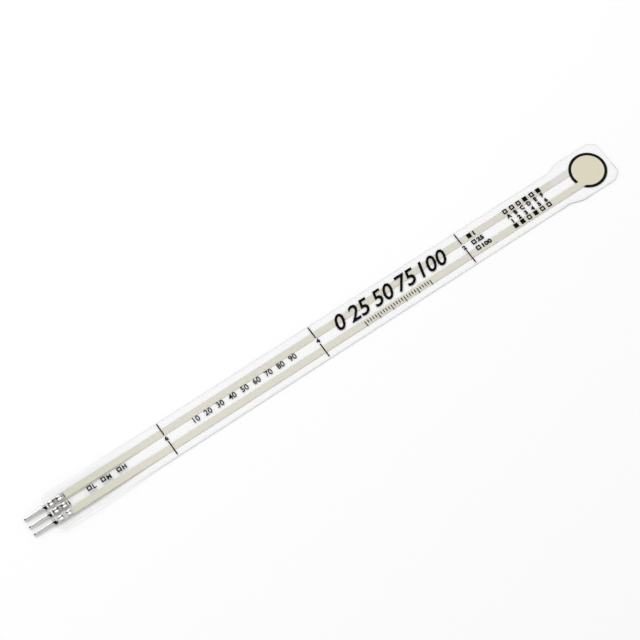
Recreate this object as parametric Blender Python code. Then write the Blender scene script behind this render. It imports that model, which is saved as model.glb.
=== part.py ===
"""Thin-film force sensing resistor, lying flat with its crimped tail bridging up from the surface.

Two polyester films carry a silver trace and a silver disc each. Pressure-sensitive ink covers both
discs, an adhesive spacer bonds the films round them, and three sheet-metal contacts pierce the
laminate at the tail. +X runs along the strip towards the sensing head, +Z is up, and the origin is
on the underside, below the centre of the sensing area.
"""

import math

import bmesh
import bpy

# Every size below is in millimetres; MM turns it into metres where a vertex is made
MM = 0.001

# Plan of the films
FILM_LENGTH = 190.5
HEAD_END_X = 7.1
HEAD_WIDTH = 14.0
HEAD_CORNER_LENGTH = 2.5
HEAD_CORNER_DEPTH = 1.7
HEAD_CORNER_RADIUS = 1.2
STRIP_WIDTH = 11.5
FLARE_START_X = -11.2
FLARE_END_X = -6.4
FLARE_STEPS = 8
TAIL_CORNER_RADIUS = 1.0
CORNER_STEPS = 5

# Layers, from the surface that the sensor lies on upwards
FILM_THICKNESS = 0.075
ADHESIVE_THICKNESS = 0.047
SILVER_THICKNESS = 0.010
INK_COVER = 0.009
BOND_GAP = 0.003
POCKET_GAP = 0.003

# Sensing area
SILVER_RADIUS = 4.8
INK_RADIUS = 5.67
SPACER_RADIUS = 6.15
DISC_STEPS = 72

# Silver traces, in line with the outer contacts
PIN_PITCH = 2.54
TRACE_WIDTH = 2.04
LOWER_TRACE_TAIL_MARGIN = 4.0
UPPER_TRACE_TAIL_MARGIN = 0.5
TRACE_EDGE_GAP = 0.02
BARE_TRACE_START_X = -11.2
BARE_TRACE_WINDOW = 2.6

# Sheet-metal contacts
SHEET = 0.2
PIN_SIZE = 0.64
PIN_LENGTH = 5.85
PIN_TAPER_LENGTH = 0.45
PIN_TIP_SHARE = 0.6
PIN_SEAM = 0.06
PIN_NOTCH_SHARE = 0.9
PIN_NOTCH_LENGTH = 0.7
PIN_OUTER_RADIUS = 0.11
PIN_INNER_RADIUS = 0.03
SHOULDER_LENGTH = 0.35
SHOULDER_STEPS = 4
NECK_LENGTH = 0.6
NECK_HEIGHT = 0.55
NECK_LEAN = math.radians(42)
NECK_FILM_GAP = 0.1
BASE_WIDTH = 1.44
BASE_LENGTH = 6.0
BASE_END_RADIUS = 0.3
BASE_FILM_GAP = 0.005
BEND_STEPS = 3

# Tines, two facing pairs on each contact
TINE_LINE = 0.7
TINE_WIDTH = 1.42
TINE_BEND_INNER_RADIUS = 0.1
TINE_FACING_GAP = 0.08
TINE_FILM_GAP = 0.04
TINE_PAIR_FROM_TAIL = (1.7, 4.3)
TINE_ROOT_INSET = 0.3
TINE_CURL_STEPS = 6
TINE_SIDE_SHARES = (-1.0, -0.9, -0.65, -0.25, 0.25, 0.65, 0.9, 1.0)
SLOT_GAP = 0.05

# How the tail rests: the pins' tips and the main stretch touch the surface, the crimps stand clear
ARCH_SLOPE = 0.02
ARCH_LENGTH = 28.0
ARCH_STEP = 4.0

# Printed trim marks, measured from the head's end
TRIM_FIRST = 51.2
TRIM_PITCH = 50.8
TRIM_COUNT = 3
TRIM_LINE_WIDTH = 0.35
TRIM_UPPER = (1.7, 5.5)
TRIM_LOWER = (-5.15, -0.55)
PRINT_THICKNESS = 0.010

# Printed check boxes, open or filled: a code grid, the load ranges and the grades
CHECK_BOX_SIZE = 1.4
CHECK_BOX_LINE = 0.36
CODE_FIRST_X = -27.74
CODE_PITCH = 2.364
CODE_ROWS = (("abcdef", 2.99, "df"), ("123456", -2.45, "124"))
RANGE_X = -40.77
RANGE_BOXES = (("low", 2.71, True), ("middle", 0.31, False), ("high", -1.9, False))
GRADE_Y = 0.21
GRADE_BOXES = (("low", -170.9), ("middle", -166.4), ("high", -161.3))

# Making: digits that a place keeps, how far cutters reach past a layer, how near a cut a vertex
# counts as on it, in metres, and how sharp an edge looks sharp
PLACE_DIGITS = 6
CUTTER_REACH = 0.2
CUT_SNAP = 1e-9
SMOOTH_ANGLE = math.radians(40)

# Places that follow from the sizes above
TAIL_X = HEAD_END_X - FILM_LENGTH
NECK_END_X = TAIL_X - NECK_FILM_GAP
PIN_ROOT_X = NECK_END_X - NECK_LENGTH - SHOULDER_LENGTH
PIN_TIP_X = PIN_ROOT_X - PIN_LENGTH
BASE_START_X = NECK_END_X - NECK_LENGTH / 2
BASE_END_X = TAIL_X + BASE_LENGTH
FLAT_START_X = BASE_END_X + ARCH_LENGTH

CORE_BOTTOM = FILM_THICKNESS + BOND_GAP
CORE_TOP = CORE_BOTTOM + ADHESIVE_THICKNESS
TOP_FILM_BOTTOM = CORE_TOP + BOND_GAP
TOP_FACE = TOP_FILM_BOTTOM + FILM_THICKNESS
TAIL_SEAT = SHEET + BASE_FILM_GAP
PIN_NOTCH = PIN_NOTCH_SHARE * (PIN_SIZE - 2 * (SHEET + PIN_INNER_RADIUS))
TINE_BEND_RADIUS = TINE_BEND_INNER_RADIUS + SHEET / 2
TINE_CURL_RADIUS = (TINE_LINE - SHEET / 2 - TINE_FACING_GAP / 2) / 2

CONTACT_LINES = {"left_contact": PIN_PITCH, "centre_contact": 0.0, "right_contact": -PIN_PITCH}
LOWER_TRACE_Y = PIN_PITCH
UPPER_TRACE_Y = -PIN_PITCH
TRACE_TAIL_MARGINS = {LOWER_TRACE_Y: LOWER_TRACE_TAIL_MARGIN, UPPER_TRACE_Y: UPPER_TRACE_TAIL_MARGIN}


def clear_scene():
    for obj in list(bpy.data.objects):
        bpy.data.objects.remove(obj, do_unlink=True)


def material(name, colour, roughness, metallic=0.0, alpha=1.0):
    made = bpy.data.materials.new(name)
    made.use_nodes = True
    shader = made.node_tree.nodes["Principled BSDF"]
    shader.inputs["Base Color"].default_value = (*colour, 1.0)
    shader.inputs["Roughness"].default_value = roughness
    shader.inputs["Metallic"].default_value = metallic
    shader.inputs["Alpha"].default_value = alpha
    made.diffuse_color = (*colour, alpha)
    return made


def vertex_at(bm, x, y, z):
    """Vertex at a place in millimetres, rounded so that faces meant to lie in one plane do."""
    return bm.verts.new([round(size, PLACE_DIGITS) * MM for size in (x, y, z)])


def object_from(bm, name):
    """Closes a bmesh off as an object, with its faces pointing out."""
    bmesh.ops.recalc_face_normals(bm, faces=bm.faces)
    mesh = bpy.data.meshes.new(name)
    bm.to_mesh(mesh)
    bm.free()
    obj = bpy.data.objects.new(name, mesh)
    bpy.context.scene.collection.objects.link(obj)
    return obj


def prism(outlines, low, high, name="prism"):
    """Solid with upright walls over each outline, a list of (x, y) points, from height low to high."""
    bm = bmesh.new()
    for outline in outlines:
        bottom = [vertex_at(bm, x, y, low) for x, y in outline]
        top = [vertex_at(bm, x, y, high) for x, y in outline]
        bm.faces.new(bottom)
        bm.faces.new(top)
        for i in range(len(outline)):
            bm.faces.new((bottom[i - 1], bottom[i], top[i], top[i - 1]))
    return object_from(bm, name)


def combined(base, operation, tools):
    """The base with each tool united or cut away; the tools are used up."""
    for tool in tools:
        step = base.modifiers.new(operation.lower(), "BOOLEAN")
        step.operation = operation
        step.solver = "EXACT"
        step.object = tool
    graph = bpy.context.evaluated_depsgraph_get()
    result = bpy.data.meshes.new_from_object(base.evaluated_get(graph))
    base.modifiers.clear()
    base.data = result
    for tool in tools:
        bpy.data.objects.remove(tool, do_unlink=True)
    return base


def rectangle(x_low, x_high, y_low, y_high):
    return [(x_low, y_low), (x_high, y_low), (x_high, y_high), (x_low, y_high)]


def circle(radius, steps=DISC_STEPS):
    angles = [2 * math.pi * i / steps for i in range(steps)]
    return [(radius * math.cos(a), radius * math.sin(a)) for a in angles]


def rounded_corner(before, corner, after, radius):
    """Points of the arc that rounds a corner between the straight edges to its two neighbours."""
    to_before = (before[0] - corner[0], before[1] - corner[1])
    to_after = (after[0] - corner[0], after[1] - corner[1])
    start_angle = math.atan2(to_before[1], to_before[0])
    turn = math.remainder(math.atan2(to_after[1], to_after[0]) - start_angle, 2 * math.pi)
    setback = radius / math.tan(abs(turn) / 2)
    middle_angle = start_angle + turn / 2
    reach = radius / math.sin(abs(turn) / 2)
    centre = (corner[0] + reach * math.cos(middle_angle), corner[1] + reach * math.sin(middle_angle))
    first = (corner[0] + setback * math.cos(start_angle), corner[1] + setback * math.sin(start_angle))
    arc_start = math.atan2(first[1] - centre[1], first[0] - centre[0])
    arc_turn = -math.copysign(math.pi - abs(turn), turn)
    steps = [arc_start + arc_turn * i / CORNER_STEPS for i in range(CORNER_STEPS + 1)]
    return [(centre[0] + radius * math.cos(a), centre[1] + radius * math.sin(a)) for a in steps]


def flare():
    """The upper edge's smooth widening from the strip to the head."""
    points = []
    for i in range(FLARE_STEPS + 1):
        share = i / FLARE_STEPS
        blend = (1 - math.cos(math.pi * share)) / 2
        x = FLARE_START_X + (FLARE_END_X - FLARE_START_X) * share
        points.append((x, STRIP_WIDTH / 2 + (HEAD_WIDTH - STRIP_WIDTH) / 2 * blend))
    return points


def film_outline():
    """Outline of both films and of the adhesive between them, die-cut together."""
    half_head = HEAD_WIDTH / 2
    corner_start = (HEAD_END_X - HEAD_CORNER_LENGTH, half_head)
    corner_end = (HEAD_END_X, half_head - HEAD_CORNER_DEPTH)
    tail_corner = (TAIL_X, STRIP_WIDTH / 2)
    widening = flare()
    upper = rounded_corner((TAIL_X, 0), tail_corner, widening[0], TAIL_CORNER_RADIUS)
    upper += widening
    upper += rounded_corner(widening[-1], corner_start, corner_end, HEAD_CORNER_RADIUS)
    upper += rounded_corner(corner_start, corner_end, (HEAD_END_X, 0), HEAD_CORNER_RADIUS)
    lower = [(x, -y) for x, y in reversed(upper)]
    return upper + lower


def tine_slots(lines, low, high):
    """Cutters for the slots that the tines of the contacts on these lines pass through."""
    inner = TINE_LINE - SHEET / 2 - TINE_BEND_INNER_RADIUS
    outer = TINE_LINE + SHEET / 2 + SLOT_GAP
    half_length = TINE_WIDTH / 2 + SLOT_GAP
    outlines = []
    for line in lines:
        for from_tail in TINE_PAIR_FROM_TAIL:
            x = TAIL_X + from_tail
            for y_low, y_high in ((inner, outer), (-outer, -inner)):
                outlines.append(rectangle(x - half_length, x + half_length, line + y_low, line + y_high))
    return prism(outlines, low, high, "tine_slots")


def conductor_plan(trace_y, low, high, grow=0.0):
    """The sensing disc joined to the trace that leads to the tail."""
    disc = prism([circle(SILVER_RADIUS + grow)], low, high, "conductor")
    half = TRACE_WIDTH / 2 + grow
    start = TAIL_X + TRACE_TAIL_MARGINS[trace_y] - grow
    trace = prism([rectangle(start, 0.0, trace_y - half, trace_y + half)], low, high)
    return combined(disc, "UNION", [trace])


def film(low):
    high = low + FILM_THICKNESS
    sheet = prism([film_outline()], low, high)
    slots = tine_slots(CONTACT_LINES.values(), low - CUTTER_REACH, high + CUTTER_REACH)
    return combined(sheet, "DIFFERENCE", [slots])


def conductor(trace_y, low):
    high = low + SILVER_THICKNESS
    silver = conductor_plan(trace_y, low, high)
    slots = tine_slots([trace_y], low - CUTTER_REACH, high + CUTTER_REACH)
    return combined(silver, "DIFFERENCE", [slots])


def lower_pocket():
    """Space that the lower conductor takes in the ink and in the adhesive."""
    top = CORE_BOTTOM + SILVER_THICKNESS + POCKET_GAP
    return conductor_plan(LOWER_TRACE_Y, CORE_BOTTOM - CUTTER_REACH, top, TRACE_EDGE_GAP)


def upper_pocket():
    """Space that the upper conductor takes in the ink and in the adhesive."""
    bottom = CORE_TOP - SILVER_THICKNESS - POCKET_GAP
    return conductor_plan(UPPER_TRACE_Y, bottom, CORE_TOP + CUTTER_REACH, TRACE_EDGE_GAP)


def lower_force_ink():
    top = CORE_BOTTOM + SILVER_THICKNESS + POCKET_GAP + INK_COVER
    ink = prism([circle(INK_RADIUS)], CORE_BOTTOM, top)
    return combined(ink, "DIFFERENCE", [lower_pocket()])


def upper_force_ink():
    bottom = CORE_TOP - SILVER_THICKNESS - POCKET_GAP - INK_COVER
    ink = prism([circle(INK_RADIUS)], bottom, CORE_TOP)
    return combined(ink, "DIFFERENCE", [upper_pocket()])


def adhesive_spacer():
    """Adhesive with the sensing area cut out, a window over the bare trace and room for the silver."""
    sheet = prism([film_outline()], CORE_BOTTOM, CORE_TOP)
    below, above = CORE_BOTTOM - CUTTER_REACH, CORE_TOP + CUTTER_REACH
    opening = prism([circle(SPACER_RADIUS)], below, above)
    window_low = LOWER_TRACE_Y - BARE_TRACE_WINDOW / 2
    window_high = LOWER_TRACE_Y + BARE_TRACE_WINDOW / 2
    window = prism([rectangle(BARE_TRACE_START_X, 0.0, window_low, window_high)], below, above)
    slots = tine_slots(CONTACT_LINES.values(), below, above)
    return combined(sheet, "DIFFERENCE", [opening, window, slots, lower_pocket(), upper_pocket()])


def arch_height(x):
    """Height of the laminate's underside at x: sloping over the crimps, then down to the flat stretch."""
    if x <= BASE_END_X:
        return TAIL_SEAT + ARCH_SLOPE * (x - PIN_TIP_X)
    if x >= FLAT_START_X:
        return 0.0
    share = (x - BASE_END_X) / ARCH_LENGTH
    start = TAIL_SEAT + ARCH_SLOPE * (BASE_END_X - PIN_TIP_X)
    start_share = 2 * share**3 - 3 * share**2 + 1
    slope_share = share**3 - 2 * share**2 + share
    return start * start_share + ARCH_SLOPE * ARCH_LENGTH * slope_share


def cut_across(bm, x):
    """Splits the faces that cross a plane square to the strip."""
    geometry = list(bm.verts) + list(bm.edges) + list(bm.faces)
    bmesh.ops.bisect_plane(bm, geom=geometry, dist=CUT_SNAP, plane_co=(x * MM, 0, 0), plane_no=(1, 0, 0))


def laid_over_tail(obj):
    """Bends a flat layer over the crimps' seat, with cuts across it where it bends and at the head."""
    bm = bmesh.new()
    bm.from_mesh(obj.data)
    bmesh.ops.triangulate(bm, faces=bm.faces)
    steps = round(ARCH_LENGTH / ARCH_STEP)
    rows = [BASE_END_X + ARCH_LENGTH * i / steps for i in range(steps + 1)]
    for x in (*rows, FLARE_START_X):
        cut_across(bm, x)
    for vertex in bm.verts:
        vertex.co.z += straight_between(rows, vertex.co.x / MM) * MM
    bmesh.ops.triangulate(bm, faces=bm.faces)
    bm.to_mesh(obj.data)
    bm.free()
    return obj


def straight_between(rows, x):
    """The arch's height with straight runs between the rows, so that each facet stays flat."""
    for low, high in zip(rows, rows[1:]):
        if low < x < high:
            share = (x - low) / (high - low)
            return arch_height(low) * (1 - share) + arch_height(high) * share
    return arch_height(x)


def unit(dy, dz):
    length = math.hypot(dy, dz)
    return dy / length, dz / length


def offset_sides(path, thickness):
    """Both faces of a sheet whose middle follows the path, a list of (y, z) points."""
    left, right = [], []
    for i, (y, z) in enumerate(path):
        before = path[max(i - 1, 0)]
        after = path[min(i + 1, len(path) - 1)]
        into = unit(y - before[0], z - before[1]) if i else None
        out = unit(after[0] - y, after[1] - z) if i < len(path) - 1 else None
        into, out = into or out, out or into
        normal = unit(-(into[1] + out[1]), into[0] + out[0])
        spread = normal[0] * -into[1] + normal[1] * into[0]
        reach = thickness / 2 / spread
        left.append((y + normal[0] * reach, z + normal[1] * reach))
        right.append((y - normal[0] * reach, z - normal[1] * reach))
    return left, right


def sheet_solid(stations, name):
    """Sheet metal whose cross-section changes from station to station: each is (x, left, right)."""
    bm = bmesh.new()
    rings = []
    for x, left, right in stations:
        rings.append([[vertex_at(bm, x, y, z) for y, z in side] for side in (left, right)])
    for (left_a, right_a), (left_b, right_b) in zip(rings, rings[1:]):
        ring_a = left_a + right_a[::-1]
        ring_b = left_b + right_b[::-1]
        for i in range(len(ring_a)):
            j = (i + 1) % len(ring_a)
            bm.faces.new((ring_a[i], ring_a[j], ring_b[j], ring_b[i]))
    for left, right in (rings[0], rings[-1]):
        for i in range(len(left) - 1):
            bm.faces.new((left[i], left[i + 1], right[i + 1], right[i]))
    return object_from(bm, name)


def arc(centre, radius, start, end, steps):
    angles = [start + (end - start) * i / steps for i in range(steps + 1)]
    return [(centre[0] + radius * math.cos(a), centre[1] + radius * math.sin(a)) for a in angles]


def fold_radius(inset):
    """Corner radius of the folded sheet's outer face, or of its inner face one sheet further in."""
    return PIN_INNER_RADIUS if inset else PIN_OUTER_RADIUS


def closed_half(inset, opening):
    """Right half of one face of the pin's section, from the middle of its floor up and over to its seam."""
    radius = fold_radius(inset)
    side = PIN_SIZE / 2 - inset
    points = [(0.0, inset)]
    points += arc((side - radius, inset + radius), radius, -math.pi / 2, 0.0, BEND_STEPS)
    points += arc((side - radius, PIN_SIZE - inset - radius), radius, 0.0, math.pi / 2, BEND_STEPS)
    points.append((opening / 2, PIN_SIZE - inset))
    return points


def trough_side(z, inset):
    """How far the neck's leaning wall, or a line so far inside it, is from the middle at a height."""
    return BASE_WIDTH / 2 - (NECK_HEIGHT - z) * math.tan(NECK_LEAN) - inset / math.cos(NECK_LEAN)


def open_half(inset):
    """Right half of one face of the neck's trough, with as many points as the pin's section."""
    radius = fold_radius(inset)
    middle = (trough_side(inset + radius, inset + radius), inset + radius)
    points = [(0.0, inset)]
    points += arc(middle, radius, -math.pi / 2, -NECK_LEAN, BEND_STEPS)
    wall_start = points[-1][1]
    wall_steps = BEND_STEPS + 2
    for i in range(1, wall_steps + 1):
        z = wall_start + (NECK_HEIGHT - wall_start) * i / wall_steps
        points.append((trough_side(z, inset), z))
    return points


def folded_section(x, opening, unfolded=0.0, share=1.0):
    """Station between the folded pin and the open neck, drawn in to a share round the pin's middle."""
    middle = PIN_SIZE / 2
    faces = []
    for inset in (SHEET, 0.0):
        half = []
        for (y_closed, z_closed), (y_open, z_open) in zip(closed_half(inset, opening), open_half(inset)):
            y = y_closed + (y_open - y_closed) * unfolded
            z = z_closed + (z_open - z_closed) * unfolded
            half.append((y * share, middle + (z - middle) * share))
        faces.append([(-y, z) for y, z in reversed(half[1:])] + half)
    return (x, *faces)


def pin_and_neck():
    """Square pin folded from sheet with a seam along its top, opening into a trough at the neck."""
    stations = [
        folded_section(PIN_TIP_X, PIN_NOTCH, share=PIN_TIP_SHARE),
        folded_section(PIN_TIP_X + PIN_TAPER_LENGTH, PIN_NOTCH),
        folded_section(PIN_TIP_X + PIN_NOTCH_LENGTH, PIN_SEAM),
    ]
    for i in range(SHOULDER_STEPS + 1):
        share = i / SHOULDER_STEPS
        unfolded = share * share * (3 - 2 * share)
        stations.append(folded_section(PIN_ROOT_X + SHOULDER_LENGTH * share, PIN_SEAM, unfolded))
    stations.append(folded_section(NECK_END_X, PIN_SEAM, 1.0))
    return sheet_solid(stations, "pin_and_neck")


def base_plate():
    """Flat strip under the films that carries the tines."""
    half = BASE_WIDTH / 2
    far = (BASE_END_X, half)
    upper = [(BASE_START_X, half)]
    upper += rounded_corner((BASE_START_X, half), far, (BASE_END_X, 0.0), BASE_END_RADIUS)
    lower = [(x, -y) for x, y in reversed(upper)]
    return prism([upper + lower], 0.0, SHEET, "base_plate")


def tine_path(curl):
    """Middle line of a tine: out of the base, up through the slot, then over by the curl's angle."""
    bend_centre = (TINE_LINE - TINE_BEND_RADIUS, SHEET / 2 + TINE_BEND_RADIUS)
    curl_height = TAIL_SEAT + TOP_FACE + TINE_FILM_GAP
    curl_centre = (TINE_LINE - TINE_CURL_RADIUS, curl_height)
    path = [(TINE_ROOT_INSET, SHEET / 2)]
    path += arc(bend_centre, TINE_BEND_RADIUS, -math.pi / 2, 0.0, BEND_STEPS)
    path += arc(curl_centre, TINE_CURL_RADIUS, 0.0, curl, TINE_CURL_STEPS)
    return path


def tine(x, side):
    """One tine, its tongue rounded by curling less far over towards its two edges."""
    stations = []
    for share in TINE_SIDE_SHARES:
        curl = math.pi / 2 * (1 + math.sqrt(1 - share * share))
        sides = offset_sides(tine_path(curl), SHEET)
        turned = [[(y * side, z) for y, z in face] for face in sides]
        stations.append((x + share * TINE_WIDTH / 2, *turned))
    return sheet_solid(stations, "tine")


def contact_mesh():
    """One contact as a single piece of formed sheet, sloped as the tail rests."""
    tines = [tine(TAIL_X + from_tail, side) for from_tail in TINE_PAIR_FROM_TAIL for side in (1, -1)]
    formed = combined(pin_and_neck(), "UNION", [base_plate(), *tines])
    mesh = formed.data
    for vertex in mesh.vertices:
        vertex.co.z += ARCH_SLOPE * (vertex.co.x - PIN_TIP_X * MM)
    mesh.shade_smooth()
    mesh.set_sharp_from_angle(angle=SMOOTH_ANGLE)
    bpy.data.objects.remove(formed, do_unlink=True)
    return mesh


def trim_mark(number, y_range):
    """Printed line across the strip on one side of its number."""
    x = HEAD_END_X - TRIM_FIRST - TRIM_PITCH * number
    half = TRIM_LINE_WIDTH / 2
    low = TOP_FACE + BOND_GAP
    outline = rectangle(x - half, x + half, *y_range)
    return prism([outline], low, low + PRINT_THICKNESS)


def check_box(x, y, filled):
    """Printed square, solid or as a frame, that follows the film where it rises to the tail."""
    low = TOP_FACE + BOND_GAP
    high = low + PRINT_THICKNESS
    half = CHECK_BOX_SIZE / 2
    box = prism([rectangle(x - half, x + half, y - half, y + half)], low, high)
    if not filled:
        half -= CHECK_BOX_LINE
        inside = rectangle(x - half, x + half, y - half, y + half)
        combined(box, "DIFFERENCE", [prism([inside], low - CUTTER_REACH, high + CUTTER_REACH)])
    return laid_over_tail(box)


def named(obj, name, made_of):
    obj.name = name
    obj.data.name = name
    obj.data.materials.clear()
    obj.data.materials.append(made_of)
    return obj


def build_laminate():
    clear_film = material("clear_film", (0.90, 0.91, 0.92), 0.25, alpha=0.35)
    adhesive = material("adhesive", (0.90, 0.90, 0.86), 0.4, alpha=0.25)
    silver_ink = material("silver_ink", (0.70, 0.67, 0.58), 0.55, metallic=0.2)
    force_ink = material("force_ink", (0.015, 0.015, 0.015), 0.6)
    named(laid_over_tail(film(0.0)), "bottom_film", clear_film)
    named(laid_over_tail(conductor(LOWER_TRACE_Y, CORE_BOTTOM)), "lower_conductor", silver_ink)
    named(lower_force_ink(), "lower_force_ink", force_ink)
    named(laid_over_tail(adhesive_spacer()), "adhesive_spacer", adhesive)
    named(upper_force_ink(), "upper_force_ink", force_ink)
    upper_low = CORE_TOP - SILVER_THICKNESS
    named(laid_over_tail(conductor(UPPER_TRACE_Y, upper_low)), "upper_conductor", silver_ink)
    named(laid_over_tail(film(TOP_FILM_BOTTOM)), "top_film", clear_film)


def build_contacts():
    tinned = material("tinned_metal", (0.78, 0.77, 0.74), 0.28, metallic=1.0)
    mesh = contact_mesh()
    for name, line in CONTACT_LINES.items():
        contact = bpy.data.objects.new(name, mesh)
        bpy.context.scene.collection.objects.link(contact)
        contact.location.y = line * MM
    mesh.name = "contact"
    mesh.materials.clear()
    mesh.materials.append(tinned)


def build_trim_marks(print_ink):
    for number in range(TRIM_COUNT):
        for part, y_range in (("upper", TRIM_UPPER), ("lower", TRIM_LOWER)):
            mark = trim_mark(number, y_range)
            named(mark, f"trim_mark_{number + 1}_{part}", print_ink)


def build_check_boxes(print_ink):
    for labels, y, filled_labels in CODE_ROWS:
        for column, label in enumerate(labels):
            x = CODE_FIRST_X + CODE_PITCH * column
            named(check_box(x, y, label in filled_labels), f"code_box_{label}", print_ink)
    for label, y, filled in RANGE_BOXES:
        named(check_box(RANGE_X, y, filled), f"range_box_{label}", print_ink)
    for label, x in GRADE_BOXES:
        named(check_box(x, GRADE_Y, False), f"grade_box_{label}", print_ink)


def main():
    clear_scene()
    build_laminate()
    build_contacts()
    print_ink = material("print_ink", (0.01, 0.01, 0.01), 0.5)
    build_trim_marks(print_ink)
    build_check_boxes(print_ink)


main()
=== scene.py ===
"""Looks of the thin-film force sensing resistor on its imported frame: materials, print and studio."""

import math

import bpy
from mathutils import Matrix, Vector
from mathutils.bvhtree import BVHTree

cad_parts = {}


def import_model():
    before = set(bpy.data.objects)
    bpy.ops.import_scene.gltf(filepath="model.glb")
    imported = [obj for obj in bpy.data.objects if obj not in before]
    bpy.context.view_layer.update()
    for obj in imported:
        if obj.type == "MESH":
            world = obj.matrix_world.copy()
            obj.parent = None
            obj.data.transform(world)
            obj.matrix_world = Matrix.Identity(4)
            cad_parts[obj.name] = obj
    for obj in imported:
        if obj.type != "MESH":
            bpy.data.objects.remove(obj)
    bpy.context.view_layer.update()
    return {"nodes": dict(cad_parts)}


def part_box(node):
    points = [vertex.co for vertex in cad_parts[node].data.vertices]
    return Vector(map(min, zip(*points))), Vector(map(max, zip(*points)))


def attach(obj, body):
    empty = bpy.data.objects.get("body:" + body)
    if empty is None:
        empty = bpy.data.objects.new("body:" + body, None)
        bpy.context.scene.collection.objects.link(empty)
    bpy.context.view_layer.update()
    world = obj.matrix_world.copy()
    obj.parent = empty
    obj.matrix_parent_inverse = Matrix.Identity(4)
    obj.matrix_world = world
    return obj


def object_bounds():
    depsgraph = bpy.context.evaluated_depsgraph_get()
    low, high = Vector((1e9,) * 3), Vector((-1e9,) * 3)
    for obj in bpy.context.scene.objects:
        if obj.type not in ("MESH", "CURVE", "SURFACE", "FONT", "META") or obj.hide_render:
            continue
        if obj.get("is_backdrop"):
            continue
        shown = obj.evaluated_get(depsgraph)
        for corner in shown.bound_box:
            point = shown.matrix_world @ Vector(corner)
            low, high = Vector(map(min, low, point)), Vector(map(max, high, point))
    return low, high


# Sizes and places are in millimetres unless a name says otherwise
MM = 0.001

# Camera and lights
CAMERA_PLACE = (-222.21, -196.22, 552.91)
CAMERA_TURN_DEG = (23.526, 0.682, -34.659)
CAMERA_SENSOR = 36.0
CAMERA_FOCAL_LENGTH = 120.27
CAMERA_NEAR_LIMIT = 10.0
KEY_DISTANCE = 1500.0
KEY_SIZE = 950.0
KEY_AZIMUTH_DEG = 100.0
KEY_ELEVATION_DEG = 42.0
LIGHT_LEVEL = 1.045
SKY_LOW_SINE, SKY_HIGH_SINE = 0.55, 0.80
SKY_HORIZON, SKY_OVERHEAD = 1.15, 0.32

# How many clear faces light may pass, down through the film's layers and back up
CLEAR_FACES_SEEN = 32

# Floor
FLOOR_SIZE = 4000.0
FLOOR_DROP = 0.02
FLOOR_COLOUR = (0.98, 0.98, 0.98)
FLOOR_ROUGHNESS = 0.9

# Print: it stands on the film like the frame's own printed marks. Boldness thickens a letter's
# strokes, widening stretches it along the strip, and the raw thickness is that of a letter before it
# is brought to the print's own
PRINT_LIFT = 0.003
PRINT_THICKNESS = 0.010
LETTER_HEIGHT = 1.4
LETTER_BOLDNESS = 0.046
LETTER_CURVE_STEPS = 3
LETTER_RAW_THICKNESS = 0.5

# Trim marks' numbers, each with the y of its middle
TRIM_NUMBERS = {"2": 0.34, "4": 0.56, "6": 0.45}
TRIM_NUMBER_HEIGHT = 1.35
TRIM_NUMBER_BOLDNESS = 0.044
TRIM_WIDENING, CODE_WIDENING, RANGE_WIDENING = 1.2, 1.15, 1.3

# The check boxes' labels by row, with how far a label's middle is from its box's middle in y
CODE_LABELS = {"abcdef": -1.80, "123456": 1.74}
CODE_LABEL_SHIFT_X = 0.08
CODE_BOLDNESS = 0.055

# Labels beside a box: the text, its gap to the box in x and how far it is lifted in y
RANGE_LABELS = {"low": ("1", 0.70, 0.0), "middle": ("25", 0.32, 0.0), "high": ("100", 0.66, -0.07)}
GRADE_LABELS = {"low": ("L", 0.33, -0.2), "middle": ("M", 0.33, -0.2), "high": ("H", 0.33, -0.05)}

# Generic scale print in the wide stretches between the trim marks
SCALE_NUMBERS = ("0", "25", "50", "75", "100")
SCALE_NUMBER_HEIGHT = 4.9
SCALE_NUMBER_SLANT = 0.28
SCALE_NUMBER_BOLDNESS = 0.012
SCALE_SPAN_X = (-88.2, -49.7)
SCALE_NUMBER_Y = 1.75
GRADUATION_SPAN_X = (-80.7, -58.2)
GRADUATION_COUNT = 26
GRADUATIONS_PER_LONG = 5
GRADUATION_TOP_Y = -2.1
GRADUATION_LONG, GRADUATION_SHORT, GRADUATION_WIDTH = 1.7, 1.0, 0.26
FINE_NUMBERS = ("10", "20", "30", "40", "50", "60", "70", "80", "90")
FINE_NUMBER_HEIGHT = 1.75
FINE_NUMBER_BOLDNESS = 0.012
FINE_SPAN_X = (-136.7, -102.4)
FINE_NUMBER_Y = 0.55

# How much the film and the adhesive hide, on their clear faces and on their cut edges. The cut edges carry
# painted shade, strong on the -Y side and faint on the lit +Y side
FACE_ALPHA, SHADED_EDGE_ALPHA, LIT_SIDE_EDGE_ALPHA = 0.0045, 0.9, 0.4
ADHESIVE_ALPHA = 0.006

# A face's levelness is its normal's z, without the sign. Looks change over these ranges of it, at the
# films' cut edges and on the contacts' bends
EDGE_TO_LEVEL = (0.4, 0.6)
BEND_TO_LEVEL = (0.75, 0.95)

# Film and adhesive: tints that drift over lumps of the given size, the painted shade on the film's cut edge,
# and a deeper painted shade on the edges of the flare on the -Y side, which comes and goes over the given
# stretches
FILM_COLOUR = (0.20, 0.20, 0.21)
FILM_ROUGHNESS = 0.3
FILM_TINTS = ((0.16, 0.16, 0.18), (0.24, 0.24, 0.24))
FILM_TINT_SIZE = 9.0
FILM_EDGE_SHADE = (0.12, 0.12, 0.13)
ADHESIVE_COLOUR = (0.33, 0.33, 0.30)
ADHESIVE_ROUGHNESS = 0.5
ADHESIVE_TINTS = ((0.30, 0.30, 0.26), (0.36, 0.36, 0.34))
ADHESIVE_TINT_SIZE = 5.0
FLARE_EDGE_SHADE = (0.02, 0.02, 0.02)
FLARE_EDGE_START_X, FLARE_EDGE_END_X = (-17.0, -12.0), (-6.5, -3.5)

# The film's gloss: its share of a full mirror, and slow waves in the sheet
FILM_IOR = 1.5
GLOSS_SHARE = 0.35
GLOSS_ROUGHNESS = 0.12
GLOSS_WAVE_SIZE, GLOSS_WAVE_HEIGHT = 14.0, 0.03

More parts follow.
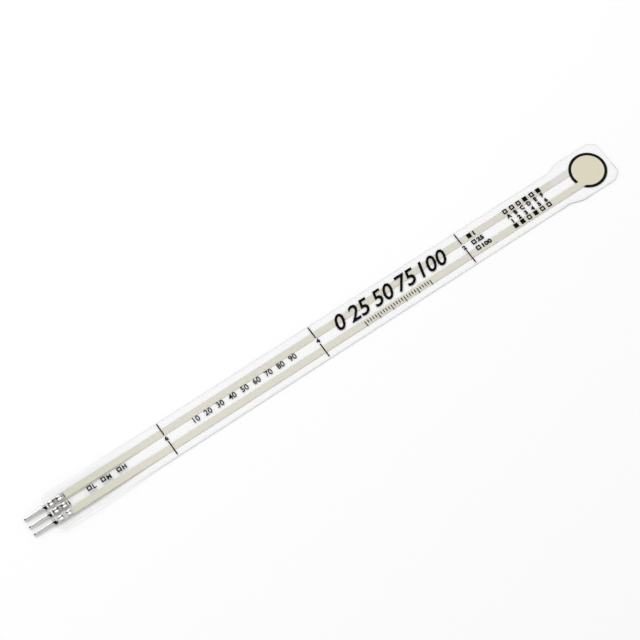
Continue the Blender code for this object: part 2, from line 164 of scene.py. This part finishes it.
# Tin plating: two tints, and fine drawing lines along the strip
TIN_COLOUR = (0.82, 0.81, 0.78)
TIN_TINTS = ((0.74, 0.73, 0.70), (0.88, 0.87, 0.85))
TIN_TINT_SIZE = 0.6
TIN_ROUGHNESS = 0.2
TIN_ROUGHNESS_RANGE = (0.13, 0.28)
DRAWING_LINE_WIDTH, DRAWING_LINE_STRETCH, DRAWING_LINE_DEPTH = 0.05, 30.0, 0.0015

# Painted shade darkens the tin plating on level faces deep in the formed sheet, and painted shade and
# painted reflections darken it in the spots given here. A spot is x start, x end, y low and y high from the
# middle line of each contact, with how much it darkens. One more spot, a painted shadow on the contact
# nearest the camera, is given in the strip's own y
RECESS_REACH = 0.8
RECESS_OPENNESS = (0.66, 0.93)
RECESS_SHADE = (0.01, 0.01, 0.01)
RECESS_SAMPLES = 8
PIN_PITCH = 2.54
SPOT_BLUR = 0.08
PAINTED_SHADE_SPOTS = {
    "trough": ((-184.05, -183.25, -0.73, 0.17), 1.0),
    "pin_tip": ((-190.25, -189.85, -0.12, 0.4), 1.0),
    "pin_far_edge": ((-189.8, -184.8, 0.22, 0.5), 0.4),
    "first_pair_end": ((-181.3, -181.0, -0.05, 0.45), 1.0),
    "second_pair_end": ((-179.8, -179.5, -0.05, 0.45), 1.0),
    "outer_tines": ((-182.5, -178.3, 0.35, 0.9), 0.35),
    "plate_end": ((-177.75, -177.3, -0.75, 0.3), 1.0),
}
NEAR_NECK_SHADOW_SPOT = (-184.0, -182.9, -3.25, -2.6)

# Duller stretches of the tin, given as the spots are, and how much rougher each is
DULL_SPOTS = {
    "pin": ((-190.4, -184.6, -0.5, 0.5), 0.08),
    "plate_start": ((-183.3, -182.75, -0.72, 0.72), 0.35),
    "between_pairs": ((-180.9, -179.9, -0.72, 0.72), 0.04),
    "plate_end": ((-178.35, -177.8, -0.72, 0.72), 0.3),
}

# Silver ink: flakes, two tones that drift into each other under a darker one, and the tones of the tail, of
# the crimped stretches with a painted shadow line at the plate's end, of the stretch that the adhesive's
# window bares and of the disc
SILVER_FLAKE_SIZE, SILVER_FLAKE_DETAIL, SILVER_FLAKE_HEIGHT = 0.12, 4.0, 0.004
SILVER_METALLIC = 0.1
SILVER_ROUGHNESS = 0.5
SILVER_ROUGHNESS_RANGE = (0.40, 0.60)
SILVER_TONE_SIZE = 4.0
SILVER_SHADE_SIZE, SILVER_SHADE_MOST = 2.5, 0.25
SILVER_WARM = (0.77, 0.79, 0.63)
SILVER_COOL = (0.80, 0.75, 0.74)
SILVER_DARK = (0.685, 0.65, 0.55)
SILVER_TAIL = (0.655, 0.645, 0.515)
SILVER_TAIL_X = (-178.0, -150.0)
SILVER_CRIMPED_LOWER = (0.46, 0.45, 0.43)
SILVER_CRIMPED_UPPER = (0.66, 0.645, 0.63)
CRIMPED_END_X = -177.5
CRIMPED_END_SPOT = (-177.85, -177.5, 1.8, 2.9)
CRIMPED_END_SHADE = (0.1, 0.1, 0.1)
SILVER_BARE = (0.745, 0.735, 0.71)
BARE_TRACE_START_X = -11.2
BARE_TRACE_BLUR = 1.2
SILVER_DISC = (0.745, 0.70, 0.54)
DISC_START_X = -4.6
DISC_BLUR = 0.1

# Carbon ink and black print: matt, each with two near blacks and two roughnesses in its grain
MATT_BLACK = (0.002, 0.002, 0.002)
MATT_SPECULAR = 0.05
CARBON_LOOK = {
    "roughness": 0.6,
    "grain_size": 0.15,
    "grain_blacks": ((0.001, 0.001, 0.001), (0.003, 0.003, 0.002)),
    "grain_roughness": (0.5, 0.75),
    "grain_height": 0.003,
}
PRINT_LOOK = {
    "roughness": 0.45,
    "grain_size": 0.3,
    "grain_blacks": ((0.001, 0.001, 0.001), (0.004, 0.004, 0.004)),
    "grain_roughness": (0.35, 0.55),
}


def scaled(values):
    """Millimetres to metres."""
    return tuple(value * MM for value in values)


# Small helpers that add nodes to a material's tree
def add_node(tree, kind, inputs=None, **settings):
    made = tree.nodes.new(kind)
    for name, value in settings.items():
        setattr(made, name, value)
    for name, value in (inputs or {}).items():
        if isinstance(value, bpy.types.NodeSocket):
            tree.links.new(value, made.inputs[name])
        else:
            made.inputs[name].default_value = value
    return made


def new_material(name, colour, roughness, metallic=0.0):
    """A Principled material, its node tree and its shader."""
    made = bpy.data.materials.new(name)
    made.use_nodes = True
    tree = made.node_tree
    shader = tree.nodes["Principled BSDF"]
    shader.inputs["Base Color"].default_value = (*colour, 1.0)
    shader.inputs["Roughness"].default_value = roughness
    shader.inputs["Metallic"].default_value = metallic
    return made, tree, shader


def noise(tree, size, detail=3.0, stretch=(1.0, 1.0, 1.0)):
    """Noise whose lumps are about the given size in millimetres, longer along a stretched axis."""
    place = add_node(tree, "ShaderNodeTexCoord").outputs["Object"]
    scale = [1 / (MM * size * along) for along in stretch]
    fitted = add_node(tree, "ShaderNodeMapping", {"Vector": place, "Scale": scale})
    inputs = {"Vector": fitted.outputs["Vector"], "Scale": 1.0, "Detail": detail}
    return add_node(tree, "ShaderNodeTexNoise", inputs).outputs["Fac"]


def between(tree, value, low, high, value_low=0.3, value_high=0.7):
    """A number that runs from low to high, numbers or sockets, as the value runs over its own range."""
    inputs = {"Value": value, "From Min": value_low, "From Max": value_high, "To Min": low, "To Max": high}
    return add_node(tree, "ShaderNodeMapRange", inputs).outputs["Result"]


def mixed(tree, share, colour_a, colour_b):
    """The first colour where the share is 0, the second where it is 1."""
    made = add_node(tree, "ShaderNodeMix", data_type="RGBA")
    tree.links.new(share, made.inputs["Factor"])
    for socket, colour in ((made.inputs["A"], colour_a), (made.inputs["B"], colour_b)):
        if isinstance(colour, bpy.types.NodeSocket):
            tree.links.new(colour, socket)
        else:
            socket.default_value = (*colour, 1.0)
    return made.outputs["Result"]


def bump(tree, shader, height, distance):
    """Gives the shader a relief as deep as the distance in millimetres."""
    made = add_node(tree, "ShaderNodeBump", {"Height": height, "Distance": distance * MM})
    tree.links.new(made.outputs["Normal"], shader.inputs["Normal"])


def place_along(tree, axis):
    """The place's x, y or z in the object's own frame, in metres."""
    place = add_node(tree, "ShaderNodeTexCoord").outputs["Object"]
    return add_node(tree, "ShaderNodeSeparateXYZ", {"Vector": place}).outputs[axis]


def maths(tree, operation, *inputs):
    return add_node(tree, "ShaderNodeMath", dict(enumerate(inputs)), operation=operation).outputs["Value"]


def times(tree, first, second):
    return maths(tree, "MULTIPLY", first, second)


def levelness(tree):
    """1 on level faces, whether they look up or down, and 0 on upright ones."""
    normal = add_node(tree, "ShaderNodeNewGeometry").outputs["True Normal"]
    upright = add_node(tree, "ShaderNodeSeparateXYZ", {"Vector": normal}).outputs["Z"]
    return maths(tree, "ABSOLUTE", upright)


def before(tree, along, x, blur):
    """1 where the place along the strip is below x, 0 beyond it."""
    return between(tree, along, 1.0, 0.0, *scaled((x - blur, x + blur)))


def band_share(tree, place, low, high):
    """1 where the place is between low and high, 0 outside, with a soft rim."""
    rising = between(tree, place, 0.0, 1.0, *scaled((low - SPOT_BLUR, low + SPOT_BLUR)))
    falling = between(tree, place, 1.0, 0.0, *scaled((high - SPOT_BLUR, high + SPOT_BLUR)))
    return times(tree, rising, falling)


def spot_share(tree, along, across, spot):
    """1 in a spot given by its x start, x end, y low and y high, 0 outside it, with a soft rim."""
    x_start, x_end, y_low, y_high = spot
    return times(tree, band_share(tree, across, y_low, y_high), band_share(tree, along, x_start, x_end))


def shaded_flare_edge_share(tree, level):
    """1 on the cut edges of the flare on the -Y side, where painted shade darkens them."""
    along = place_along(tree, "X")
    rising = between(tree, along, 0.0, 1.0, *scaled(FLARE_EDGE_START_X))
    falling = between(tree, along, 1.0, 0.0, *scaled(FLARE_EDGE_END_X))
    near = between(tree, place_along(tree, "Y"), 1.0, 0.0, -MM, MM)
    edge = between(tree, level, 1.0, 0.0, *EDGE_TO_LEVEL)
    return times(tree, times(tree, edge, near), times(tree, rising, falling))


def film_material(name, glossy):
    """Clear film: faint haze on its faces, cut edges darkened with painted shade, and a gloss where a face
    meets the air.
    """
    made, tree, shader = new_material(name, FILM_COLOUR, FILM_ROUGHNESS)
    level = levelness(tree)
    face_colour = mixed(tree, noise(tree, FILM_TINT_SIZE), *FILM_TINTS)
    # Cut edges take a dark painted shade colour
    colour = mixed(tree, between(tree, level, 0.0, 1.0, *EDGE_TO_LEVEL), FILM_EDGE_SHADE, face_colour)
    # Deeper painted shade on the flare's cut edges on the -Y side
    colour = mixed(tree, shaded_flare_edge_share(tree, level), colour, FLARE_EDGE_SHADE)
    tree.links.new(colour, shader.inputs["Base Color"])
    # The painted shade on the cut edges shows strongly on the -Y side and faintly on the lit +Y side
    edge = between(tree, place_along(tree, "Y"), SHADED_EDGE_ALPHA, LIT_SIDE_EDGE_ALPHA, -MM, MM)
    alpha = between(tree, level, edge, FACE_ALPHA, *EDGE_TO_LEVEL)
    tree.links.new(alpha, shader.inputs["Alpha"])
    if glossy:
        add_gloss(tree, shader)
    return made


def add_gloss(tree, shader):
    """Lays a clear gloss with a slow waviness over the shader's upward faces, seen from outside."""
    geometry = add_node(tree, "ShaderNodeNewGeometry").outputs
    up = add_node(tree, "ShaderNodeSeparateXYZ", {"Vector": geometry["True Normal"]}).outputs["Z"]
    outside = between(tree, geometry["Backfacing"], 1.0, 0.0, 0.0, 1.0)
    outer = between(tree, up, 0.0, outside, *EDGE_TO_LEVEL)
    wave_inputs = {"Height": noise(tree, GLOSS_WAVE_SIZE), "Distance": GLOSS_WAVE_HEIGHT * MM}
    waves = {"Normal": add_node(tree, "ShaderNodeBump", wave_inputs).outputs["Normal"]}
    mirror = add_node(tree, "ShaderNodeFresnel", {"IOR": FILM_IOR, **waves}).outputs["Fac"]
    share = times(tree, outer, times(tree, mirror, GLOSS_SHARE))
    gloss = add_node(tree, "ShaderNodeBsdfGlossy", {"Roughness": GLOSS_ROUGHNESS, **waves})
    blend_inputs = {0: share, 1: shader.outputs["BSDF"], 2: gloss.outputs["BSDF"]}
    blend = add_node(tree, "ShaderNodeMixShader", blend_inputs)
    tree.links.new(blend.outputs["Shader"], tree.nodes["Material Output"].inputs["Surface"])


def adhesive_material():
    """Nearly clear adhesive with a cloudy tint, darkened by painted shade on its edge at the flare."""
    made, tree, shader = new_material("adhesive_layer", ADHESIVE_COLOUR, ADHESIVE_ROUGHNESS)
    tint = mixed(tree, noise(tree, ADHESIVE_TINT_SIZE), *ADHESIVE_TINTS)
    # Painted shade on the adhesive's cut edges at the flare, on the -Y side
    flare_shade = shaded_flare_edge_share(tree, levelness(tree))
    colour = mixed(tree, flare_shade, tint, FLARE_EDGE_SHADE)
    tree.links.new(colour, shader.inputs["Base Color"])
    tree.links.new(between(tree, flare_shade, ADHESIVE_ALPHA, SHADED_EDGE_ALPHA, 0.0, 1.0), shader.inputs["Alpha"])
    return made


def silver_material(name, crimped_colour, head_colour, head_start_x, head_blur):
    """Silver-filled ink with fine flakes, drifting tones, and other tones at the tail and the head."""
    made, tree, shader = new_material(name, SILVER_WARM, SILVER_ROUGHNESS, SILVER_METALLIC)
    flakes = noise(tree, SILVER_FLAKE_SIZE, detail=SILVER_FLAKE_DETAIL)
    tone = between(tree, noise(tree, SILVER_TONE_SIZE), 0.0, 1.0)
    light = mixed(tree, tone, SILVER_WARM, SILVER_COOL)
    colour = mixed(tree, between(tree, flakes, 0.0, 1.0), SILVER_DARK, light)
    shade = between(tree, noise(tree, SILVER_SHADE_SIZE), 0.0, SILVER_SHADE_MOST)
    colour = mixed(tree, shade, colour, SILVER_DARK)
    along = place_along(tree, "X")
    tail = between(tree, along, 1.0, 0.0, *scaled(SILVER_TAIL_X))
    colour = mixed(tree, tail, colour, SILVER_TAIL)
    colour = mixed(tree, before(tree, along, CRIMPED_END_X, SPOT_BLUR), colour, crimped_colour)
    # Painted shadow line on the ink where the contact's plate ends
    end = spot_share(tree, along, place_along(tree, "Y"), CRIMPED_END_SPOT)
    colour = mixed(tree, end, colour, CRIMPED_END_SHADE)
    colour = mixed(tree, before(tree, along, head_start_x, head_blur), head_colour, colour)
    tree.links.new(colour, shader.inputs["Base Color"])
    tree.links.new(between(tree, flakes, *SILVER_ROUGHNESS_RANGE), shader.inputs["Roughness"])
    bump(tree, shader, flakes, SILVER_FLAKE_HEIGHT)
    return made


def black_material(name, roughness, grain_size, grain_blacks, grain_roughness, grain_height=0.0):
    """Matt black with a fine grain, which stands out where it has a height."""
    made, tree, shader = new_material(name, MATT_BLACK, roughness)
    shader.inputs["Specular IOR Level"].default_value = MATT_SPECULAR
    grain = noise(tree, grain_size)
    tree.links.new(mixed(tree, grain, *grain_blacks), shader.inputs["Base Color"])
    tree.links.new(between(tree, grain, *grain_roughness), shader.inputs["Roughness"])
    if grain_height:
        bump(tree, shader, grain, grain_height)
    return made


def from_contact_middle(tree, across):
    """How far across the strip the place is from the middle line of the nearest contact."""
    half_pitch = PIN_PITCH * MM / 2
    return maths(tree, "WRAP", across, half_pitch, -half_pitch)


def tin_colour(tree, along):
    """Cloudy tin with painted shade in its recesses and painted shade and reflections in its spots."""
    colour = mixed(tree, noise(tree, TIN_TINT_SIZE), *TIN_TINTS)
    reach = {"Distance": RECESS_REACH * MM}
    settings = {"samples": RECESS_SAMPLES, "only_local": True}
    openness = add_node(tree, "ShaderNodeAmbientOcclusion", reach, **settings).outputs["AO"]
    depth = between(tree, openness, 1.0, 0.0, *RECESS_OPENNESS)
    level = between(tree, levelness(tree), 0.0, 1.0, *BEND_TO_LEVEL)
    across = place_along(tree, "Y")
    from_middle = from_contact_middle(tree, across)
    # Painted shade in the recesses, and painted shade and reflections in the spots
    shares = [times(tree, depth, level), spot_share(tree, along, across, NEAR_NECK_SHADOW_SPOT)]
    for spot, most in PAINTED_SHADE_SPOTS.values():
        shares.append(times(tree, spot_share(tree, along, from_middle, spot), most))
    for share in shares:
        colour = mixed(tree, share, colour, RECESS_SHADE)
    return colour


def tinned_material():
    """Tin plating with faint drawing lines along the strip, duller in the dull spots."""
    made, tree, shader = new_material("tin_plating", TIN_COLOUR, TIN_ROUGHNESS, metallic=1.0)
    along = place_along(tree, "X")
    tree.links.new(tin_colour(tree, along), shader.inputs["Base Color"])
    lines = noise(tree, DRAWING_LINE_WIDTH, stretch=(DRAWING_LINE_STRETCH, 1.0, 1.0))
    rough = between(tree, lines, *TIN_ROUGHNESS_RANGE)
    from_middle = from_contact_middle(tree, place_along(tree, "Y"))
    for spot, amount in DULL_SPOTS.values():
        share = spot_share(tree, along, from_middle, spot)
        rough = maths(tree, "ADD", times(tree, share, amount), rough)
    tree.links.new(rough, shader.inputs["Roughness"])
    bump(tree, shader, lines, DRAWING_LINE_DEPTH)
    return made


def dress_nodes(nodes, black_print):
    """Gives each solid of the frame its finish."""
    top_film = film_material("top_film_clear", glossy=True)
    bottom_film = film_material("bottom_film_clear", glossy=False)
    disc = (SILVER_DISC, DISC_START_X, DISC_BLUR)
    upper_silver = silver_material("upper_silver", SILVER_CRIMPED_UPPER, *disc)
    bare = (SILVER_BARE, BARE_TRACE_START_X, BARE_TRACE_BLUR)
    lower_silver = silver_material("lower_silver", SILVER_CRIMPED_LOWER, *bare)
    carbon = black_material("carbon_ink", **CARBON_LOOK)
    tin = tinned_material()
    finishes = {
        "top_film": top_film,
        "bottom_film": bottom_film,
        "adhesive_spacer": adhesive_material(),
        "upper_conductor": upper_silver,
        "lower_conductor": lower_silver,
        "upper_force_ink": carbon,
        "lower_force_ink": carbon,
        "left_contact": tin,
        "centre_contact": tin,
        "right_contact": tin,
    }
    for name, node in nodes.items():
        node.data.materials[0] = finishes.get(name, black_print)


def surface_of(node):
    """Function that gives the height of the node's upper face over a place, all in metres."""
    graph = bpy.context.evaluated_depsgraph_get()
    tree = BVHTree.FromObject(node, graph)
    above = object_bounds()[1][2] + MM

    def height(x, y):
        hit = tree.ray_cast(Vector((x, y, above)), Vector((0, 0, -1)))[0]
        return hit.z

    return height


def printed(obj, height, black_print):
    """Lays a flat print, modelled from z 0 to its thickness, on the film and makes it part of the object."""
    for vertex in obj.data.vertices:
        vertex.co.z += height(vertex.co.x, vertex.co.y) + PRINT_LIFT * MM
    obj.data.materials.clear()
    obj.data.materials.append(black_print)
    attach(obj, "root")


def text_mesh(name, text, tall, slant=0.0, boldness=LETTER_BOLDNESS, widening=1.0):
    """Mesh object of a text that is so tall, with its lower left corner at the origin."""
    curve = bpy.data.curves.new(name, "FONT")
    curve.body = text
    curve.shear = slant
    curve.offset = boldness
    curve.extrude = LETTER_RAW_THICKNESS
    curve.resolution_u = LETTER_CURVE_STEPS
    letters = bpy.data.objects.new(name, curve)
    bpy.context.scene.collection.objects.link(letters)
    bpy.context.view_layer.update()
    mesh = bpy.data.meshes.new_from_object(letters.evaluated_get(bpy.context.evaluated_depsgraph_get()))
    bpy.data.objects.remove(letters, do_unlink=True)
    bpy.data.curves.remove(curve)
    low = [min(vertex.co[axis] for vertex in mesh.vertices) for axis in range(3)]
    high = [max(vertex.co[axis] for vertex in mesh.vertices) for axis in range(3)]
    size = tall * MM / (high[1] - low[1])
    thickness = PRINT_THICKNESS * MM / (high[2] - low[2])
    for vertex in mesh.vertices:
        shifted = [vertex.co[axis] - low[axis] for axis in range(3)]
        vertex.co = (shifted[0] * size * widening, shifted[1] * size, shifted[2] * thickness)
    made = bpy.data.objects.new(name, mesh)
    bpy.context.scene.collection.objects.link(made)
    return made


def width_of(obj):
    return max(vertex.co.x for vertex in obj.data.vertices)


def moved(obj, left, bottom):
    for vertex in obj.data.vertices:
        vertex.co.x += left
        vertex.co.y += bottom
    return obj


def centred_text(name, text, x, y, tall=LETTER_HEIGHT, **style):
    made = text_mesh(name, text, tall, **style)
    return moved(made, x - width_of(made) / 2, y - tall * MM / 2)


def print_labels(height, black_print):
    """Numbers of the trim marks and the labels of the check boxes."""
    labels = []
    for i, (number, y) in enumerate(TRIM_NUMBERS.items()):
        low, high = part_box(f"trim_mark_{i + 1}_upper")
        x = (low.x + high.x) / 2
        style = {"tall": TRIM_NUMBER_HEIGHT, "boldness": TRIM_NUMBER_BOLDNESS, "widening": TRIM_WIDENING}
        labels.append(centred_text(f"trim_number_{number}", number, x, y * MM, **style))
    for row, offset in CODE_LABELS.items():
        for label in row:
            low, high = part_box(f"code_box_{label}")
            middle = (low + high) / 2
            name = f"code_label_{label}"
            widening = CODE_WIDENING if label.isdigit() else 1.0
            x, y = middle.x + CODE_LABEL_SHIFT_X * MM, middle.y + offset * MM
            style = {"widening": widening, "boldness": CODE_BOLDNESS}
            labels.append(centred_text(name, label.upper(), x, y, **style))
    for kind, texts in (("range", RANGE_LABELS), ("grade", GRADE_LABELS)):
        for place, (text, gap, lift) in texts.items():
            low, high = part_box(f"{kind}_box_{place}")
            widening = RANGE_WIDENING if kind == "range" else 1.0
            made = text_mesh(f"{kind}_label_{place}", text, LETTER_HEIGHT, widening=widening)
            bottom = (low.y + high.y - LETTER_HEIGHT * MM) / 2 + lift * MM
            labels.append(moved(made, high.x + gap * MM, bottom))
    for label in labels:
        printed(label, height, black_print)


def number_row(prefix, numbers, span, y, tall, **style):
    """Numbers with equal gaps that together fill the span."""
    made = [text_mesh(f"{prefix}_{number}", number, tall, **style) for number in numbers]
    widths = [width_of(obj) for obj in made]
    left, right = scaled(span)
    gap = (right - left - sum(widths)) / (len(made) - 1)
    for obj, width in zip(made, widths):
        moved(obj, left, (y - tall / 2) * MM)
        left += width + gap
    return made


def graduation(name, x, long):
    """One short line of the scale, hanging from the graduations' common top."""
    tall = GRADUATION_LONG if long else GRADUATION_SHORT
    x_low, x_high = scaled((x - GRADUATION_WIDTH / 2, x + GRADUATION_WIDTH / 2))
    y_low, y_high = scaled((GRADUATION_TOP_Y - tall, GRADUATION_TOP_Y))
    places = [(x_low, y_low), (x_high, y_low), (x_high, y_high), (x_low, y_high)]
    vertices = [(*place, z) for z in (0.0, PRINT_THICKNESS * MM) for place in places]
    faces = [(3, 2, 1, 0), (4, 5, 6, 7), (0, 1, 5, 4), (1, 2, 6, 5), (2, 3, 7, 6), (3, 0, 4, 7)]
    mesh = bpy.data.meshes.new(name)
    mesh.from_pydata(vertices, [], faces)
    made = bpy.data.objects.new(name, mesh)
    bpy.context.scene.collection.objects.link(made)
    return made


def print_scales(height, black_print):
    """Plain numbers and graduations, as on a measuring scale."""
    large = {"slant": SCALE_NUMBER_SLANT, "boldness": SCALE_NUMBER_BOLDNESS}
    places = (SCALE_SPAN_X, SCALE_NUMBER_Y, SCALE_NUMBER_HEIGHT)
    made = number_row("scale_number", SCALE_NUMBERS, *places, **large)
    places = (FINE_SPAN_X, FINE_NUMBER_Y, FINE_NUMBER_HEIGHT)
    made += number_row("fine_number", FINE_NUMBERS, *places, boldness=FINE_NUMBER_BOLDNESS)
    start, end = GRADUATION_SPAN_X
    for i in range(GRADUATION_COUNT):
        x = start + (end - start) * i / (GRADUATION_COUNT - 1)
        made.append(graduation(f"graduation_{i + 1}", x, i % GRADUATIONS_PER_LONG == 0))
    for obj in made:
        printed(obj, height, black_print)


def build_floor():
    half = FLOOR_SIZE * MM / 2
    mesh = bpy.data.meshes.new("floor")
    corners = [(-half, -half, 0), (half, -half, 0), (half, half, 0), (-half, half, 0)]
    mesh.from_pydata(corners, [], [(0, 1, 2, 3)])
    floor = bpy.data.objects.new("floor", mesh)
    floor.location.z = -FLOOR_DROP * MM
    bpy.context.scene.collection.objects.link(floor)
    made, _, shader = new_material("floor_paper", FLOOR_COLOUR, FLOOR_ROUGHNESS)
    shader.inputs["Specular IOR Level"].default_value = 0.0
    mesh.materials.append(made)
    floor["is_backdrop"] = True


def build_world():
    """Soft studio: bright towards the horizon, darker overhead."""
    world = bpy.data.worlds.new("studio")
    world.use_nodes = True
    tree = world.node_tree
    direction = add_node(tree, "ShaderNodeTexCoord").outputs["Generated"]
    sine = add_node(tree, "ShaderNodeSeparateXYZ", {"Vector": direction}).outputs["Z"]
    level = between(tree, sine, SKY_HORIZON, SKY_OVERHEAD, SKY_LOW_SINE, SKY_HIGH_SINE)
    tree.links.new(level, tree.nodes["Background"].inputs["Strength"])
    tree.nodes["Background"].inputs["Color"].default_value = (1.0, 1.0, 1.0, 1.0)
    bpy.context.scene.world = world


def dome_share():
    """How much of a plain level the sky gives on a level surface."""
    low, high = SKY_LOW_SINE, SKY_HIGH_SINE
    return SKY_OVERHEAD + (SKY_HORIZON - SKY_OVERHEAD) * (low**2 + low * high + high**2) / 3


def build_key():
    """Soft key light, set to give what the sky leaves of the light's level."""
    azimuth = math.radians(KEY_AZIMUTH_DEG)
    elevation = math.radians(KEY_ELEVATION_DEG)
    level = math.cos(elevation)
    towards = Vector((level * math.cos(azimuth), level * math.sin(azimuth), math.sin(elevation)))
    distance = KEY_DISTANCE * MM
    lamp = bpy.data.lights.new("key", "AREA")
    lamp.shape = "DISK"
    lamp.size = KEY_SIZE * MM
    share = LIGHT_LEVEL - dome_share()
    lamp.energy = share * math.pi**2 * distance**2 / math.sin(elevation)
    key = bpy.data.objects.new("key", lamp)
    low, high = (Vector(corner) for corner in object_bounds())
    key.location = (low + high) / 2 + towards * distance
    key.rotation_euler = towards.to_track_quat("Z", "Y").to_euler()
    bpy.context.scene.collection.objects.link(key)


def build_camera():
    lens = bpy.data.cameras.new("camera")
    lens.sensor_width = CAMERA_SENSOR
    lens.lens = CAMERA_FOCAL_LENGTH
    lens.clip_start = CAMERA_NEAR_LIMIT * MM
    camera = bpy.data.objects.new("camera", lens)
    camera.location = scaled(CAMERA_PLACE)
    camera.rotation_euler = [math.radians(angle) for angle in CAMERA_TURN_DEG]
    bpy.context.scene.collection.objects.link(camera)
    bpy.context.scene.camera = camera


def build(nodes):
    black_print = black_material("black_print", **PRINT_LOOK)
    dress_nodes(nodes, black_print)
    height = surface_of(nodes["top_film"])
    print_labels(height, black_print)
    print_scales(height, black_print)
    build_floor()
    build_world()
    build_key()
    build_camera()
    bpy.context.scene.view_settings.view_transform = "Standard"
    bpy.context.scene.cycles.transparent_max_bounces = CLEAR_FACES_SEEN


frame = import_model()
build(frame["nodes"])
